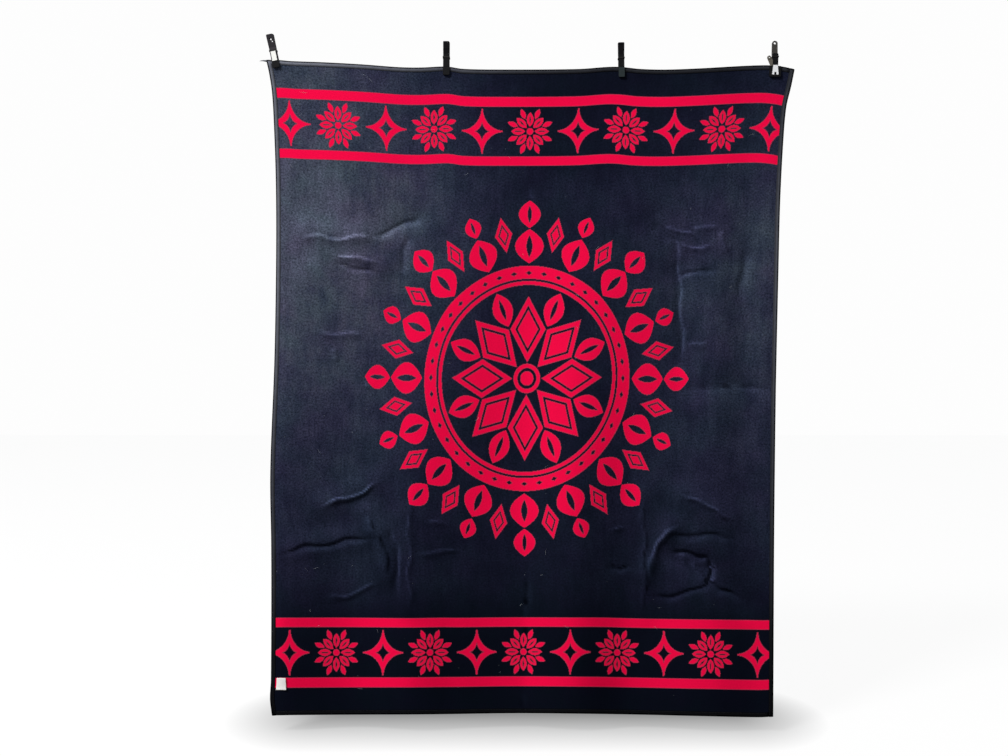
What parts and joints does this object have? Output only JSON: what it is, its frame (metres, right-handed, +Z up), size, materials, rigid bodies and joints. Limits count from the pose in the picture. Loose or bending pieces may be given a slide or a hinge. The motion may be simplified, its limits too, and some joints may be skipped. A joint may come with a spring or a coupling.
{
  "type": "wool blanket hung from spring clips",
  "caption": "Woven wool blanket with bound edges, hanging by its top edge from spring clips with hang holes.",
  "frame": {"origin": "middle of the level line through the clips' hang holes, in the plane in which the blanket hangs", "axes": "+Z up, +X to the right as the blanket's face is seen, and the face looks along -Y"},
  "size_m": [1.6603, 0.0512, 2.1125],
  "materials": {
    "wool": "napped jacquard wool, dark navy ground with crimson figures",
    "binding": "charcoal felted binding tape",
    "label": "blank white woven label",
    "black_plastic": "black moulded plastic",
    "rubber": "dark grey rubber",
    "pale_plastic": "blank off-white plastic",
    "steel": "bright spring steel",
    "dark_steel": "blackened spring steel"
  },
  "bodies": {
    "root": {"blanket_panel": "wool", "binding_top": "binding", "binding_bottom": "binding", "binding_left": "binding", "binding_right": "binding", "care_label": "label", "clip_1_rear_leg": "black_plastic", "clip_1_front_leg": "black_plastic", "clip_1_rear_shoe": "rubber", "clip_1_front_shoe": "rubber", "clip_1_band": "dark_steel", "clip_1_plate": "pale_plastic", "clip_2_rear_leg": "black_plastic", "clip_2_front_leg": "black_plastic", "clip_2_rear_shoe": "rubber", "clip_2_front_shoe": "rubber", "clip_2_band": "dark_steel", "clip_3_rear_leg": "black_plastic", "clip_3_front_leg": "black_plastic", "clip_3_rear_shoe": "rubber", "clip_3_front_shoe": "rubber", "clip_3_band": "dark_steel", "clip_4_rear_leg": "black_plastic", "clip_4_front_leg": "black_plastic", "clip_4_rear_shoe": "rubber", "clip_4_front_shoe": "rubber", "clip_4_band": "dark_steel", "clip_4_jaw_plate": "steel", "clip_4_thumb_tab": "dark_steel"}
  },
  "joints": []
}
